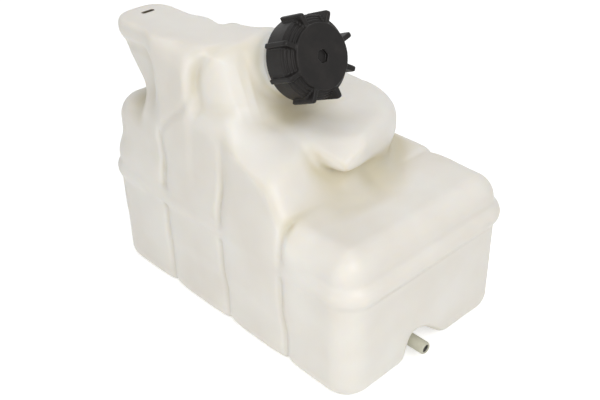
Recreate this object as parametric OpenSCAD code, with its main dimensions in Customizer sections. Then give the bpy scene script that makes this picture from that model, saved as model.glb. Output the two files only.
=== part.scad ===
// Coolant expansion tank with a screw cap.
// Millimetres. The origin is the centre of the base, X is the length (outlet end at +X), Z is up.
// The tank's skin is one smooth blend of blocks, written as a distance function and sampled in level rings.

/* [Node] */
// Node to build, or "all"

/* [Tank] */
length = 360;
width = 224;
wall = 3.5;
bead_z = 119;
block_top_z = 157;
shoulder_top_z = 204;
ridge_top_z = 294;
tab_top_z = 294.5;
plan_corner_r = 27;
base_edge_r = 16;
groove_depth = 4;
groove_half_width = 3;
// Where the four slices of the tank meet
grooves_x = [-85, 8, 95];

/* [Tab slot] */
slot_centre = [-136, -74];
slot_length = 14;
slot_width = 4.4;

/* [Recess and spigot] */
// How far the recess reaches in from the outlet end
recess_depth = 60;
recess_top_z = 36;
recess_left_y = -35;
spigot_y = -14;
spigot_z = 18.5;
// How far the spigot stands out past the outlet end
spigot_reach = 10;
spigot_r = 6.75;
spigot_bore_r = 4.25;
// The spigot's root is thicker where it sits in the wall
shank_step = 0.75;
shank_out = 4;

/* [Neck] */
// Tilt of the neck's axis above the horizontal
neck_tilt = 22;
neck_point = [13, -29, 271.5];
neck_root = -44;
boss_wall = 3;
boss_start = -52;
boss_end = -10;
neck_end = 42;
neck_r = 30;
neck_wall = 3.5;

/* [Cap] */
// Places along the neck's axis, from neck_point
skirt_start = 22;
// The skirt ends this far past the neck's rim
skirt_over = 2.5;
skirt_wall = 8.15;
// Running gap over the neck, where the thread is
thread_gap = 0.35;
// How far in from the skirt each stepped ring stands
steps_in = [1.3, 3.5, 5.7, 8.4];
step_length = 2.5;
front_height = 4;
lug_count = 8;
lug_height = 4.2;
lug_width = 6.4;
lug_phase = 102.4;
dish_r = 6.5;
dish_depth = 2.5;

/* [Cap insert] */
flange_thickness = 3;
flange_gap = 0.55;
insert_gap = 0.4;
insert_wall = 4.1;
// How deep the insert hangs below the neck's rim
insert_depth = 22;
floor_thickness = 4;
seat_height = 1;
seat_r = 9;
collar_step = 0.3;
clip_step = 0.8;
clip_gap = 0.25;
o_ring_up = 12;
o_ring_r = 1.55;
o_ring_gap = 0.05;

/* [Valves] */
seal_thickness = 2;
plate_thickness = 2;
plate_over_seat = 5;
hub_r = 5.6;
hub_height = 3;
stem_r = 2;
retainer_thickness = 2;
retainer_hole_r = 6;
vent_r = 2.2;
spring_wire_r = 1;
spring_r = 9.5;
spring_turns = 5.5;
small_wire_r = 0.35;
small_spring_r = 3.1;
small_spring_turns = 5;
small_spring_height = 6;

/* [Hidden] */
$fn = 64;

// Blends and distances

function soft_min(a, b, k) =
    let (h = max(0, min(1, 0.5 + 0.5*(b - a)/k)))
    b*(1 - h) + a*h - k*h*(1 - h);

function soft_max(a, b, k) = -soft_min(-a, -b, k);

function plan_box(x, y, x0, x1, y0, y1, r) =
    let (qx = abs(x - (x0 + x1)/2) - ((x1 - x0)/2 - r),
         qy = abs(y - (y0 + y1)/2) - ((y1 - y0)/2 - r))
    norm([max(qx, 0), max(qy, 0)]) + min(max(qx, qy), 0) - r;

// A plan outline between two heights, with its top and bottom edges rounded
function slab(d, z, z0, z1, top_r, bottom_r) =
    let (middle = (z0 + z1)/2,
         e = z > middle ? top_r : bottom_r,
         w0 = d + e,
         w1 = abs(z - middle) - (z1 - z0)/2 + e)
    norm([max(w0, 0), max(w1, 0)]) + min(max(w0, w1), 0) - e;

function above_plane(x, y, z, n, p) =
    ((x - p[0])*n[0] + (y - p[1])*n[1] + (z - p[2])*n[2])/norm(n);

function segment_distance(px, pz, a, b) =
    let (d = b - a,
         t = max(0, min(1, ((px - a[0])*d[0] + (pz - a[1])*d[1])/(d*d))))
    norm([px - a[0] - t*d[0], pz - a[1] - t*d[1]]);

// The tank's form

cos_tilt = cos(neck_tilt);
sin_tilt = sin(neck_tilt);
half_length = length/2;
half_width = width/2;
recess_x = half_length - recess_depth;
spigot_tip_x = half_length + spigot_reach;
boss_r = neck_r + boss_wall;
neck_bore_r = neck_r - neck_wall;

// First groove, from the ridge down the near side, as X and Z
groove_path = [[-14, 296], [-26, 282], [-34, 266], [-37, 243], [-50, 226], [-67, 214], [-80, 199],
               [-84, 184], [-82, 160], [-85, -10]];

function base_block(x, y, z, plan) =
    let (front = max(0, min(1, (x - 80)/60)),
         up = max(z - bead_z, 0))
    slab(plan + (0.015 + 0.15*front)*up, z, 0, block_top_z, 20, base_edge_r);

function shoulder_block(x, y, z, lean) =
    slab(plan_box(x, y, -176.5, -72, -108.5, 93.5, 30) + lean, z, 60, shoulder_top_z, 24, 16);

function far_block(x, y, z, lean) =
    slab(plan_box(x, y, -120, 40, -60, 92, 30) + lean, z, 60, 206, 22, 16);

// The pillow-shaped lip of the deck, with a prow at its near corner
function deck_lip(x, y, z) =
    let (plan = soft_max(plan_box(x, y, -60, 103, -42, 92, 16), (x - 101)*0.80 + (y - 26)*0.60, 40),
         top_z = 220 - 0.07*(y + 40))
    slab(plan, z - (top_z - 218), 189, 218, 14, 9);

function under_lip(x, y, z) =
    slab(soft_max(plan_box(x, y, -60, 86, -20, 90, 24), (x - 99)*0.80 + (y - 26)*0.60, 40),
         z, 60, 206, 10, 10);

function near_deck(x, y, z, lean) =
    let (a = slab(plan_box(x, y, 2, 120, -108.5, -16, 26) + lean, z, 60, 221, 14, 16),
         b = soft_max(a, above_plane(x, y, z, [0.64, -0.34, 0.69], [42, -102, 220]), 14),
         c = soft_max(b, above_plane(x, y, z, [0.90, 0, 0.44], [94, 0, 156]), 12))
    soft_max(c, above_plane(x, y, z, [0.72, 0.46, 0.52], [62, -50, 212]), 18);

function wedge_block(x, y, z) =
    let (a = slab(plan_box(x, y, -62, 60, -98, 50, 16), z, 60, ridge_top_z, 9, 16),
         b = soft_max(a, above_plane(x, y, z, [0.72, -0.42, 0.25], [-6, -96, 262]), 20),
         c = soft_max(b, (x + 6)*cos_tilt + (z - ridge_top_z + 1)*sin_tilt, 10))
    soft_max(c, above_plane(x, y, z, [0, 0.80, 0.60], [0, -27, 293]), 10);

function ridge_block(x, y, z) =
    soft_max(slab(plan_box(x, y, -91, -32, -109, -42, 12), z, 150, ridge_top_z, 10, 9),
             above_plane(x, y, z, [0.35, -0.75, 0.75], [-32, -104, 282]), 14);

function near_block(x, y, z, lean) =
    soft_max(slab(plan_box(x, y, -87, 26, -109.5, -30, 26) + lean, z, 60, 236, 22, 16),
             (x + 4)*cos_tilt + (z - ridge_top_z + 9)*sin_tilt, 10);

function tab_block(x, y, z) =
    let (plate = slab(plan_box(x, y, -158, -60, -106, -45, 26), z, 276, tab_top_z, 7, 7),
         web = soft_max(slab(plan_box(x, y, -150, -70, -98, -56, 10), z, 200, 290, 5, 5),
                        -above_plane(x, y, z, [0.795, 0, 0.606], [-155, 0, 272]), 6))
    soft_min(plate, web, 10);

function scoop(x, y, z) = 22*norm([(x + 6)/22, (y + 116)/26, (z - 236)/22]) - 22;

// How far each slice bulges between its two grooves
function pillow(x) =
    let (a = x < grooves_x[0] ? -half_length : x < grooves_x[1] ? grooves_x[0]
             : x < grooves_x[2] ? grooves_x[1] : grooves_x[2],
         b = x < grooves_x[0] ? grooves_x[0] : x < grooves_x[1] ? grooves_x[1]
             : x < grooves_x[2] ? grooves_x[2] : half_length,
         u = max(-1, min(1, (x - (a + b)/2)/((b - a)/2))))
    1 - u*u*u*u;

function groove(offset, depth, half) = depth*exp(-(offset/half)*(offset/half));

function groove_cut(x, y, z) =
    let (side = max(0, min(1, (abs(y) - 50)/50)),
         near = max(0, min(1, (-y - 50)/50)),
         first = near <= 0 ? 0 : near*groove(min([for (i = [0:len(groove_path) - 2])
             segment_distance(x, z, groove_path[i], groove_path[i + 1])]), 3.2, 4.2),
         second = max(0, min(1, (218 - z)/16))*groove(x - grooves_x[1], groove_depth, groove_half_width),
         third = max(0, min(1, (168 - z)/8))
             *groove(x - grooves_x[2] + 0.028*(y + half_width), groove_depth, groove_half_width))
    first + side*(second + third - 2.2*pillow(x)*max(0, min(1, (230 - z)/30)));

// Rounded boss behind the neck
function neck_boss(x, y, z) =
    let (dx = x - neck_point[0], dy = y - neck_point[1], dz = z - neck_point[2],
         along = dx*cos_tilt + dz*sin_tilt,
         out = norm([dy, dz*cos_tilt - dx*sin_tilt]),
         w0 = out - boss_r + 8,
         w1 = abs(along - (boss_start + boss_end)/2) - (boss_end - boss_start)/2 + 8)
    norm([max(w0, 0), max(w1, 0)]) + min(max(w0, w1), 0) - 8;

// Distance from the outside of the tank, negative inside it
function tank_form(x, y, z) =
    let (lean = 0.015*max(z - bead_z, 0),
         plan = plan_box(x, y, -half_length, half_length, -half_width, half_width, plan_corner_r),
         base = base_block(x, y, z, plan),
         low = z < 40 ? base
             : let (a = soft_min(base, far_block(x, y, z, lean), 14),
                    b = soft_min(a, under_lip(x, y, z), 34 - 20*max(0, min(1, (y - 10)/60))),
                    c = soft_min(b, near_deck(x, y, z, lean), 26),
                    e = soft_min(c, deck_lip(x, y, z), 8),
                    f = soft_min(near_block(x, y, z, lean), wedge_block(x, y, z), 8),
                    g = soft_min(f, ridge_block(x, y, z), 6),
                    h = soft_min(g, shoulder_block(x, y, z, lean), 16),
                    i = soft_min(h, tab_block(x, y, z), 12))
               soft_min(e, i, 12),
         cut = soft_max(low, -scoop(x, y, z), 12) + groove_cut(x, y, z),
         bead = norm([plan + 6, z - bead_z]) - 12,
         skin = soft_min(cut, bead, 4))
    z < 205 ? skin : soft_min(skin, neck_boss(x, y, z), 12);

// Distance from the recess, negative inside it
function recess_form(x, y, z) =
    let (left = 0.3*z - (y - recess_left_y),
         right = 0.67*(y - 8) + 0.74*(z - 23))
    soft_max(soft_max(soft_max(left, right, 8), z - recess_top_z, 10), recess_x - x, 10);

// Extra wall behind the grooves
function groove_backing(x, y) =
    max(0, min(1, (abs(y) - 50)/50))*max([for (g = grooves_x) groove(x - g, 3.6, 12)]);

// Distance from the cavity's skin: one wall inside the form, clear of the recess and of the solid tab
function cavity_form(x, y, z) =
    let (shell = tank_form(x, y, z) + wall + max(0, min(1.5, (z - 150)/20)) + groove_backing(x, y),
         tab = min(-86 - x, z - 224))
    max(shell, tab, x > recess_x - 30 && z < 60 ? wall - recess_form(x, y, z) : tab);

// Rings

// Core rectangle that the rays leave, at each height
function core_x0(z) = lookup(z, [[0, -150], [194, -150], [203, -100], [214, -84], [221, -68], [226, -52], [294, -52]]);
function core_x1(z) = lookup(z, [[0, 150], [145, 150], [165, 75], [190, 60], [216, 40], [226, -18], [262, -24], [294, -32]]);
function core_y0(z) = -82;
function core_y1(z) = lookup(z, [[0, 82], [150, 82], [200, 60], [212, 30], [219, 8], [228, 0], [262, -25], [294, -48]]);

// Places along the near and far sides, as parts of the core's length
function side_places(fine) = fine
    ? [0, 0.10, 0.19, 0.217, 0.244, 0.34, 0.44, 0.50, 0.527, 0.554, 0.64, 0.72, 0.79, 0.817, 0.844, 0.91, 1]
    : [0, 0.12, 0.217, 0.37, 0.527, 0.67, 0.817, 1];
function end_places(fine) = fine ? [0.10, 0.20, 0.30, 0.45, 0.60, 0.75, 0.90] : [0.2, 0.4, 0.6, 0.8];
fan_steps = 4;

// Above the deck the fan towards the tab is crowded to the tab's side
function corner_fan(p, from_angle, fine, power = 1) =
    let (steps = fine ? fan_steps : 3)
    [for (i = [0:steps]) let (a = from_angle + 90*pow(i/steps, power)) [p, [cos(a), sin(a)]]];

function ray_starts(z, fine) =
    let (up = fine || z < 130 ? z : z + 7, trim = fine ? 0 : 4,
         x0 = core_x0(up) + trim, x1 = core_x1(up) - trim, y0 = core_y0(up) + trim, y1 = core_y1(up) - trim,
         s = side_places(fine), e = end_places(fine), n = len(s), m = len(e))
    concat(
        [for (i = [1:n - 2]) [[x0 + s[i]*(x1 - x0), y0], [0, -1]]],
        corner_fan([x1, y0], -90, fine),
        [for (i = [0:m - 1]) [[x1, y0 + e[i]*(y1 - y0)], [1, 0]]],
        corner_fan([x1, y1], 0, fine),
        [for (i = [n - 2:-1:1]) [[x0 + s[i]*(x1 - x0), y1], [0, 1]]],
        corner_fan([x0, y1], 90, fine),
        [for (i = [m - 1:-1:0]) [[x0, y0 + e[i]*(y1 - y0)], [-1, 0]]],
        corner_fan([x0, y0], 180, fine, z > 222 ? 2 : 1));

// Walk out along a ray until the form's skin
function march(p, d, z, inner, r, left) =
    let (f = inner ? cavity_form(p[0] + r*d[0], p[1] + r*d[1], z) : tank_form(p[0] + r*d[0], p[1] + r*d[1], z))
    abs(f) < 0.04 || left == 0 ? r - f : march(p, d, z, inner, r - 0.95*f, left - 1);

function ring(z, inner) =
    [for (q = ray_starts(z, !inner))
        let (r = march(q[0], q[1], z, inner, 0, 16)) [q[0][0] + r*q[1][0], q[0][1] + r*q[1][1], z]];

outer_levels = [0, 1.3, 5, 16, 50, 84, 104, 108, 111, 115, 119, 123, 127, 130, 134, 140, 147, 152, 155.5, 158, 163, 170,
                179, 186, 190, 195, 200, 204, 207, 211, 215, 218, 220.5, 225, 232, 242, 254, 265, 274, 277, 281, 288,
                292.5, 294];
inner_levels = [4, 6.5, 17, 50, 84, 106, 119, 130, 134, 140, 147, 152, 157, 164, 175, 186, 194, 200, 206, 212, 216, 222,
                232, 248, 264, 277, 286, 289.5];

module lofted(levels, inner) {
    rings = [for (z = levels) ring(z, inner)];
    n = len(rings[0]);
    last = len(levels) - 1;
    points = [for (r = rings) each r];
    sides = [for (k = [0:last - 1], i = [0:n - 1])
        let (a = k*n + i, b = k*n + (i + 1)%n, c = a + n, d = b + n,
             flip = norm(points[a] - points[d]) < norm(points[b] - points[c]))
        each flip ? [[a, d, b], [a, c, d]] : [[a, c, b], [b, c, d]]];
    bottom = [[for (i = [0:n - 1]) i]];
    top = [[for (i = [n - 1:-1:0]) last*n + i]];
    polyhedron(points, concat(sides, bottom, top), convexity = 12);
}

// Places a child on the neck's axis, a distance along it
module on_neck(along) {
    translate(neck_point) rotate([0, 90 - neck_tilt, 0]) translate([0, 0, along]) children();
}

module tube(r, bore, h) {
    difference() {
        cylinder(r = r, h = h);
        translate([0, 0, -1]) cylinder(r = bore, h = h + 2);
    }
}

module tab_slot() {
    for (s = [-1, 1])
        translate([slot_centre[0], slot_centre[1] + s*(slot_length - slot_width)/2, 240])
            cylinder(r = slot_width/2, h = 70);
    translate([slot_centre[0] - slot_width/2, slot_centre[1] - (slot_length - slot_width)/2, 240])
        cube([slot_width, slot_length - slot_width, 70]);
}

module recess_cut() {
    top_left = recess_left_y + 0.3*recess_top_z;
    top_right = 8 - 0.74/0.67*(recess_top_z - 23);
    foot_right = 8 + 0.74/0.67*(23 + 2);
    translate([recess_x, 0, 0]) rotate([90, 0, 90])
        linear_extrude(height = 90)
            polygon([[recess_left_y - 0.6, -2], [top_left - 1.2, recess_top_z - 4], [top_left + 2.4, recess_top_z],
                     [top_right - 1.5, recess_top_z], [top_right + 3, recess_top_z - 3], [foot_right, -2]]);
}

// The outer skin less its cavity. The rough hole through the neck joins the two into one closed surface.
module skin() {
    bore_length = neck_end - neck_root;
    past = 4*wall;
    resize([0, 0, 0])
    difference() {
        union() {
            lofted(outer_levels, false);
            on_neck(neck_root) cylinder(r = neck_r, h = bore_length, $fn = 96);
        }
        lofted(inner_levels, true);
        on_neck(neck_root - past) cylinder(r = neck_bore_r - 2, h = bore_length + past + wall, $fn = 48);
    }
}

module tank_body() {
    color([0.90, 0.88, 0.84])
    difference() {
        skin();
        on_neck(neck_root - 5*wall) cylinder(r = neck_bore_r, h = neck_end - neck_root + 6*wall);
        tab_slot();
        recess_cut();
        translate([recess_x - 3*wall, spigot_y, spigot_z]) rotate([0, 90, 0])
            cylinder(r = spigot_r + shank_step, h = 6*wall);
    }
}

// Spigot: its root stops flush with the inside of the recess's back wall, and its shank ends just outside it
module outlet_spigot() {
    root = recess_x - wall - 0.5;
    reach = spigot_tip_x - root;
    shank = recess_x + shank_out - root;
    shank_r = spigot_r + shank_step;
    color([0.74, 0.73, 0.67])
    translate([root, spigot_y, spigot_z]) rotate([0, 90, 0])
        rotate_extrude()
            polygon([[spigot_bore_r, 0], [shank_r, 0], [shank_r, shank - 0.5], [shank_r - 0.5, shank],
                     [spigot_r, shank], [spigot_r, reach - 1], [spigot_r - 1, reach], [spigot_bore_r, reach]]);
}

skirt_end = neck_end + skirt_over;
cap_front = skirt_end + 3*step_length + front_height;
skirt_bore_r = neck_r + thread_gap;
skirt_r = skirt_bore_r + skirt_wall;
step_r = [for (s = steps_in) skirt_r - s];
lug_r = skirt_r + lug_height;
lug_start = skirt_start + 3.4;
lug_end = cap_front - 1.3;
flange_top = neck_end + flange_thickness;
flange_r = skirt_bore_r - flange_gap;
insert_r = neck_bore_r - insert_gap;
insert_bore_r = insert_r - insert_wall;
insert_bottom = neck_end - insert_depth;
floor_top = insert_bottom + floor_thickness;
collar_r = insert_r + collar_step;
clip_r = collar_r + clip_step;
clip_top = flange_top + 5;
o_ring_at = insert_bottom + o_ring_up;
o_ring_centre_r = neck_bore_r - o_ring_gap - o_ring_r;

// Cap shell: skirt, stepped rings, lugs, and the inside that takes the neck and the insert's clip
module cap_shell() {
    top_inside = max(cap_front - 4, clip_top + 2);
    land = flange_top + 0.1;
    color([0.13, 0.12, 0.11])
    on_neck(0) difference() {
        union() {
            rotate_extrude() polygon([
                [skirt_bore_r, skirt_start], [skirt_r - 0.8, skirt_start], [skirt_r, skirt_start + 0.8],
                [skirt_r, skirt_end - 0.8], [skirt_r - 0.8, skirt_end],
                [step_r[0], skirt_end], [step_r[0], skirt_end + step_length],
                [step_r[1], skirt_end + step_length], [step_r[1], skirt_end + 2*step_length],
                [step_r[2], skirt_end + 2*step_length], [step_r[2], skirt_end + 3*step_length],
                [step_r[3], skirt_end + 3*step_length], [step_r[3], cap_front - 1.2],
                [step_r[3] - 1.2, cap_front],
                [0, cap_front], [0, top_inside], [clip_r + clip_gap, top_inside], [clip_r + clip_gap, land + 3.2],
                [collar_r + 0.2, land + 3.2], [collar_r + 0.2, land], [skirt_bore_r, land]]);
            for (i = [0:lug_count - 1]) rotate([0, 0, lug_phase + 360*i/lug_count]) lug();
        }
        translate([0, 0, cap_front - dish_depth]) cylinder(r = dish_r, h = dish_depth + 1.5);
        for (i = [0:5]) rotate([0, 0, 60*i]) translate([dish_r - 2.3, 0, top_inside - 1]) cylinder(r = 0.8, h = 6);
    }
}

// A lug runs along the skirt and closes onto the front ring
module lug() {
    translate([0, lug_width/2, 0]) rotate([90, 0, 0])
        linear_extrude(height = lug_width)
            polygon([[skirt_r - 3, lug_start - 1.6], [lug_r - 1.6, lug_start], [lug_r, lug_start + 1.6],
                     [lug_r, lug_end - 2], [lug_r - 2, lug_end], [step_r[3] - 1.1, lug_end],
                     [step_r[3] - 1.1, skirt_end + 2*step_length + 0.5],
                     [skirt_r - 5, skirt_end - 1.5], [skirt_r - 3, skirt_end - 1.5]]);
}

// Cup that hangs in the neck, with the pressure valve's seat in its floor
module cap_insert() {
    groove_r = o_ring_centre_r - o_ring_r;
    color([0.20, 0.20, 0.21])
    on_neck(0) rotate_extrude() polygon([
        [seat_r, insert_bottom], [insert_r - 1, insert_bottom], [insert_r, insert_bottom + 1],
        [insert_r, o_ring_at - 1.9], [groove_r, o_ring_at - 1.9], [groove_r, o_ring_at + 1.9],
        [insert_r, o_ring_at + 1.9], [insert_r, neck_end], [flange_r, neck_end], [flange_r, flange_top],
        [collar_r, flange_top], [collar_r, flange_top + 3.5], [clip_r, flange_top + 3.5], [clip_r, flange_top + 4.3],
        [clip_r - 0.8, clip_top], [insert_bore_r, clip_top],
        [insert_bore_r, floor_top], [seat_r + 2.5, floor_top], [seat_r + 2, floor_top + seat_height],
        [seat_r, floor_top + seat_height]]);
}

module insert_o_ring() {
    color([0.10, 0.10, 0.10])
    on_neck(o_ring_at) rotate_extrude() translate([o_ring_centre_r, 0]) circle(r = o_ring_r);
}

seat_at = floor_top + seat_height;
plate_r = seat_r + plate_over_seat;
retainer_at = flange_top + 1;
plate_at = seat_at + seal_thickness;
plate_top = plate_at + plate_thickness;

// Rubber ring on the seat
module pressure_seal() {
    color([0.12, 0.12, 0.12]) on_neck(seat_at) tube(plate_r - 0.5, seat_r - 1, seal_thickness);
}

// Plate with a hub that centres the spring, a hole for the vacuum valve's stem, and four air holes
module pressure_plate() {
    color([0.62, 0.62, 0.60])
    on_neck(plate_at) difference() {
        union() {
            cylinder(r = plate_r, h = plate_thickness);
            cylinder(r = hub_r, h = plate_thickness + hub_height);
        }
        translate([0, 0, -1]) cylinder(r = stem_r + 0.15, h = plate_thickness + hub_height + 2);
        for (i = [0:3]) rotate([0, 0, 90*i + 45]) translate([(stem_r + hub_r)/2 + 0.1, 0, -1])
            cylinder(r = 0.8, h = plate_thickness + hub_height + 2);
    }
}

// Mushroom valve that hangs below the plate
module vacuum_valve() {
    head_at = plate_top + hub_height + small_spring_height;
    color([0.70, 0.70, 0.68])
    on_neck(0) rotate_extrude() polygon([
        [0, plate_at - 1.6], [6, plate_at - 1.6], [6.4, plate_at - 1.2], [6.4, plate_at], [stem_r, plate_at],
        [stem_r, head_at], [4, head_at], [4, head_at + 0.8], [3.6, head_at + 1.2], [0, head_at + 1.2]]);
}

// Coil spring along the axis, its end turns closed
module coil(mean_r, wire_r, height, turns, steps, sides) {
    n = ceil(turns*steps);
    rise = height - 2*wire_r;
    points = [for (i = [0:n]) let (u = i/n, a = 360*turns*u,
        h = wire_r + rise*(u < 0.12 ? u*0.25 : u > 0.88 ? 1 - (1 - u)*0.25 : 0.03 + (u - 0.12)*0.94/0.76))
        each [for (j = [0:sides - 1]) let (b = 360*j/sides, r = mean_r + wire_r*cos(b))
            [r*cos(a), r*sin(a), h + wire_r*sin(b)]]];
    sides_faces = [for (i = [0:n - 1], j = [0:sides - 1])
        let (p = i*sides + j, q = i*sides + (j + 1)%sides) [p, p + sides, q + sides, q]];
    polyhedron(points, concat(sides_faces, [[for (j = [0:sides - 1]) j]], [[for (j = [sides - 1:-1:0]) n*sides + j]]),
               convexity = 10);
}

module pressure_spring() {
    color([0.60, 0.61, 0.62])
    on_neck(plate_top) coil(spring_r, spring_wire_r, retainer_at - plate_top, spring_turns, 24, 8);
}

module vacuum_spring() {
    color([0.60, 0.61, 0.62])
    on_neck(plate_top + hub_height)
        coil(small_spring_r, small_wire_r, small_spring_height, small_spring_turns, 16, 6);
}

// Disc pressed into the insert, with a middle hole and six air holes
module spring_retainer() {
    color([0.45, 0.45, 0.46])
    on_neck(retainer_at) difference() {
        cylinder(r = insert_bore_r, h = retainer_thickness);
        translate([0, 0, -1]) cylinder(r = retainer_hole_r, h = retainer_thickness + 2);
        for (i = [0:5]) rotate([0, 0, 60*i]) translate([(insert_bore_r + retainer_hole_r)/2 + 1, 0, -1])
            cylinder(r = vent_r, h = retainer_thickness + 2);
    }
}

tank_body();
outlet_spigot();
cap_shell();
cap_insert();
insert_o_ring();
pressure_plate();
pressure_seal();
pressure_spring();
spring_retainer();
vacuum_valve();
vacuum_spring();
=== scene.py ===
"""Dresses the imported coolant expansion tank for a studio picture.

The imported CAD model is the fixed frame. The tank's skin and the cap's shell are meshed here from smooth
distance functions, because their forms are soft blends. The neck and the spigot are turned, the thread and the
springs are wound by Geometry Nodes, and the small hidden pieces keep their CAD solids and get materials.
Distances in the form classes are in millimetres, in the row's frame; Blender objects are in metres.
"""

from __future__ import annotations

import logging
import math
from collections.abc import Callable, Sequence
from dataclasses import dataclass
from enum import Enum

import bmesh
import bpy
import numpy as np
from mathutils import Matrix, Vector

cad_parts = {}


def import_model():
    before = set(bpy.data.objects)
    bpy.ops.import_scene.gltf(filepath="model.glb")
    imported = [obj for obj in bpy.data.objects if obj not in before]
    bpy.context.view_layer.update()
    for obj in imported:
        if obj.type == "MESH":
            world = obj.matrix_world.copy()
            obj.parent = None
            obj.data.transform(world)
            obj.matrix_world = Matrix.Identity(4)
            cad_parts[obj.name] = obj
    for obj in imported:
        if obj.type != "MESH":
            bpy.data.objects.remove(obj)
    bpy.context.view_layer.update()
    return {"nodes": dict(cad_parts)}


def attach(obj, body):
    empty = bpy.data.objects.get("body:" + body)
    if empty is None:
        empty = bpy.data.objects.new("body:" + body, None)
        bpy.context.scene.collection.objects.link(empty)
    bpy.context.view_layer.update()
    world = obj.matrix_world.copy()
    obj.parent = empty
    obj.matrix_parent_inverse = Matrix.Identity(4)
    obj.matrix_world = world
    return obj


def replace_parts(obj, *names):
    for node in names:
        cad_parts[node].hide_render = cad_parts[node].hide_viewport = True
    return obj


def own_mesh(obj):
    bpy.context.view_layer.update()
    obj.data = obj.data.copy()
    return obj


LOG = logging.getLogger("coolant_tank")
MM = 0.001

Array = np.ndarray
Span = tuple[float, float]
Point = tuple[float, float, float]


# Sizes


@dataclass(frozen=True)
class TankSizes:
    """Sizes of the tank in millimetres, the same as in the CAD source."""

    length: float = 360.0
    width: float = 224.0
    bead_z: float = 119.0
    lean: float = 0.015
    block_top_z: float = 157.0
    shoulder_top_z: float = 204.0
    ridge_top_z: float = 294.0
    tab_top_z: float = 294.5
    plan_corner_r: float = 27.0
    base_edge_r: float = 16.0
    groove_depth: float = 1.9
    groove_half_width: float = 4.0
    first_groove_depth: float = 2.1
    first_groove_half_width: float = 4.8
    slice_bulge: float = 2.2
    grooves_x: Point = (-85.0, 8.0, 95.0)
    slot_centre: Span = (-136.0, -74.0)
    slot_length: float = 14.0
    slot_width: float = 4.4
    recess_x: float = 120.0
    recess_top_z: float = 36.0
    recess_left_y: float = -35.0


@dataclass(frozen=True)
class SpigotSizes:
    """Sizes of the outlet spigot in millimetres."""

    root_x: float = 116.0
    tip_x: float = 190.0
    y: float = -14.0
    z: float = 18.5
    radius: float = 6.75
    bore_r: float = 4.25
    shank_r: float = 7.5
    shank_x: float = 124.0


@dataclass(frozen=True)
class NeckSizes:
    """Sizes of the filler neck in millimetres, and its axis."""

    tilt_deg: float = 22.0
    point: Point = (13.0, -29.0, 271.5)
    stub_start: float = -44.0
    stub_end: float = 16.0
    end: float = 42.0
    radius: float = 30.0
    thread_root_r: float = 28.9
    bore_r: float = 26.5
    liner_r: float = 28.6
    cut_r: float = 28.2
    thread_pitch: float = 6.0
    thread_start: float = 21.2
    thread_turns: float = 2.4
    thread_wire_r: float = 1.3
    boss_r: float = 33.0
    boss_start: float = -52.0
    boss_end: float = -10.0

    @property
    def direction(self) -> Point:
        """Unit vector along the axis, out of the neck."""
        tilt = math.radians(self.tilt_deg)
        return (math.cos(tilt), 0.0, math.sin(tilt))

    def matrix(self, along: float) -> Matrix:
        """Places a piece on the neck's axis.

        Args:
            along: Distance from the neck's reference point along the axis, in millimetres.

        Returns:
            A matrix in metres whose Z axis is the neck's axis.
        """
        turn = Matrix.Rotation(math.radians(90.0 - self.tilt_deg), 4, "Y")
        place = Matrix.Translation(Vector(self.point) * MM)
        return place @ turn @ Matrix.Translation((0.0, 0.0, along * MM))


@dataclass(frozen=True)
class CapSizes:
    """Sizes of the cap's shell in millimetres, along and about the neck's axis."""

    skirt_start: float = 22.0
    skirt_end: float = 44.5
    front: float = 56.0
    skirt_r: float = 38.5
    step_r: tuple[float, ...] = (37.2, 35.0, 32.8, 30.1)
    step_length: float = 2.5
    bore_r: float = 30.35
    flange_top: float = 45.1
    collar_r: float = 26.6
    collar_top: float = 48.3
    chamber_r: float = 27.45
    chamber_top: float = 52.0
    lug_count: int = 8
    lug_r: float = 42.7
    lug_width: float = 5.0
    lug_start: float = 25.4
    lug_end: float = 54.7
    lug_phase_deg: float = 102.4
    dish_r: float = 5.6
    dish_depth: float = 3.2


TANK = TankSizes()
SPIGOT = SpigotSizes()
NECK = NeckSizes()
CAP = CapSizes()


# Distance functions


@dataclass(frozen=True)
class Places:
    """Points to measure at, in millimetres."""

    x: Array
    y: Array
    z: Array


Form = Callable[[Places], Array]


def soft_min(a: Array, b: Array, k: float | Array) -> Array:
    """Smallest of two distances with the join rounded over a width k."""
    h = np.clip(0.5 + 0.5 * (b - a) / k, 0.0, 1.0)
    return b * (1.0 - h) + a * h - k * h * (1.0 - h)


def soft_max(a: Array, b: Array, k: float | Array) -> Array:
    """Largest of two distances with the join rounded over a width k."""
    return -soft_min(-a, -b, k)


def rounded(a: Array, b: Array, r: float | Array) -> Array:
    """Distance from a corner of radius r; a and b are distances from its two faces moved in by r."""
    return np.hypot(np.maximum(a, 0), np.maximum(b, 0)) + np.minimum(np.maximum(a, b), 0) - r


def plan_box(p: Places, xs: Span, ys: Span, r: float) -> Array:
    """Measures the distance from a rectangle with rounded corners, seen from above.

    Args:
        p: Places to measure at.
        xs: Its ends along X.
        ys: Its ends along Y.
        r: Radius of its corners.

    Returns:
        Distances, negative inside.
    """
    across_x = np.abs(p.x - sum(xs) / 2) - ((xs[1] - xs[0]) / 2 - r)
    across_y = np.abs(p.y - sum(ys) / 2) - ((ys[1] - ys[0]) / 2 - r)
    return rounded(across_x, across_y, r)


def slab(plan: Array, z: Array, zs: Span, top_r: float, bottom_r: float) -> Array:
    """Measures the distance from an outline raised between two heights.

    Args:
        plan: Distances from the outline, seen along Z.
        z: Heights of the places.
        zs: Its bottom and top.
        top_r: Radius of its top edge.
        bottom_r: Radius of its bottom edge.

    Returns:
        Distances, negative inside.
    """
    middle = sum(zs) / 2
    r = np.where(z > middle, top_r, bottom_r)
    return rounded(plan + r, np.abs(z - middle) - (zs[1] - zs[0]) / 2 + r, r)


def ramp(v: Array, low: float, high: float) -> Array:
    """0 below low, 1 above high, straight between them."""
    return np.clip((v - low) / (high - low), 0.0, 1.0)


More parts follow.
